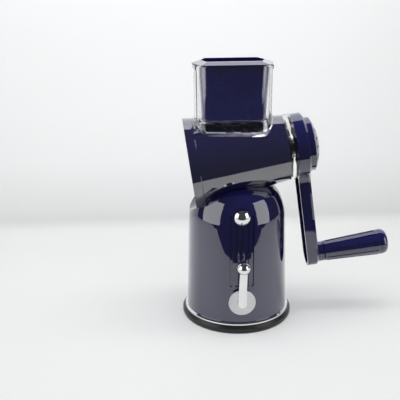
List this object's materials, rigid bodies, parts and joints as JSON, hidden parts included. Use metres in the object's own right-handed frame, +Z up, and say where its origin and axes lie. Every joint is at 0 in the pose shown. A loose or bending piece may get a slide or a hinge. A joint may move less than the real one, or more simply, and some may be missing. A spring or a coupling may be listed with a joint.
{
  "type": "rotary cabbage shredder",
  "caption": "Hand-cranked rotary cabbage shredder: domed suction base, tilted drum barrel, clear feed hopper with pusher, crank with loose grip and clamp knob.",
  "frame": {"origin": "middle of the rubber pad's underside on the table", "axes": "+X towards the crank, +Y away from the release button, +Z up"},
  "size_m": [0.2274, 0.1357, 0.2774],
  "materials": {
    "navy_plastic": "high-gloss deep indigo navy moulded plastic",
    "clear_plastic": "clear polished moulded plastic",
    "white_plastic": "white moulded plastic",
    "black_plastic": "plain black moulded plastic",
    "black_rubber": "smooth black rubber with a soft sheen",
    "chrome": "bright chrome plating",
    "steel": "plain stainless steel",
    "brass": "turned brass"
  },
  "bodies": {
    "body": {"base_shell": "navy_plastic", "trim_ring": "chrome", "suction_pad": "black_rubber", "base_plate": "black_plastic", "lever_escutcheon": "chrome", "barrel_shell": "navy_plastic", "feed_hopper": "clear_plastic", "end_bearing": "clear_plastic", "spindle_bush": "black_plastic"},
    "lever": {"suction_lever": "chrome", "lever_ball": "chrome", "cam_shaft": "steel", "lift_cam": "black_plastic"},
    "lift": {"pull_rod": "steel"},
    "button": {"release_button": "chrome", "latch_plate": "steel", "button_spring": "steel"},
    "crank": {"drum_cage": "white_plastic", "blade_panel_1": "steel", "blade_panel_2": "steel", "blade_panel_3": "steel", "drum_spindle": "steel", "thrust_washer": "black_plastic", "crank_arm": "navy_plastic", "grip_axle": "steel"},
    "knob": {"clamp_knob": "navy_plastic", "knob_insert": "brass"},
    "grip": {"grip_sleeve": "navy_plastic", "grip_cap": "navy_plastic"},
    "pusher": {"pusher": "navy_plastic"}
  },
  "joints": [
    {"name": "crank_turn", "type": "hinge", "parent": "body", "child": "crank", "pos_m": [0.04839, 0, 0.18488], "axis": [0.9897, 0, 0.1431], "continuous": true},
    {"name": "knob_turn", "type": "hinge", "parent": "crank", "child": "knob", "pos_m": [0.04839, 0, 0.18488], "axis": [0.9897, 0, 0.1431], "range_deg": [0, 1080]},
    {"name": "grip_spin", "type": "hinge", "parent": "crank", "child": "grip", "pos_m": [0.12544, 0, 0.07123], "axis": [0.9897, 0, 0.1431], "continuous": true},
    {"name": "pusher_lift", "type": "slide", "parent": "body", "child": "pusher", "axis": [0, 0, 1], "range_m": [0, 0.055]},
    {"name": "lever_turn", "type": "hinge", "parent": "body", "child": "lever", "pos_m": [0, 0, 0.035], "axis": [0, 1, 0], "range_deg": [0, 90]},
    {"name": "rod_lift", "type": "slide", "parent": "body", "child": "lift", "axis": [0, 0, 1], "range_m": [0, 0.003], "deforming": ["suction_pad"]},
    {"name": "button_press", "type": "slide", "parent": "body", "child": "button", "axis": [0, 1, 0], "range_m": [0, 0.003], "stiffness_N_per_m": 600, "deforming": ["button_spring"]}
  ],
  "couplings": [
    {"joint": "rod_lift", "follows": "lever_turn", "m_per_rad": 0.0019099}
  ]
}
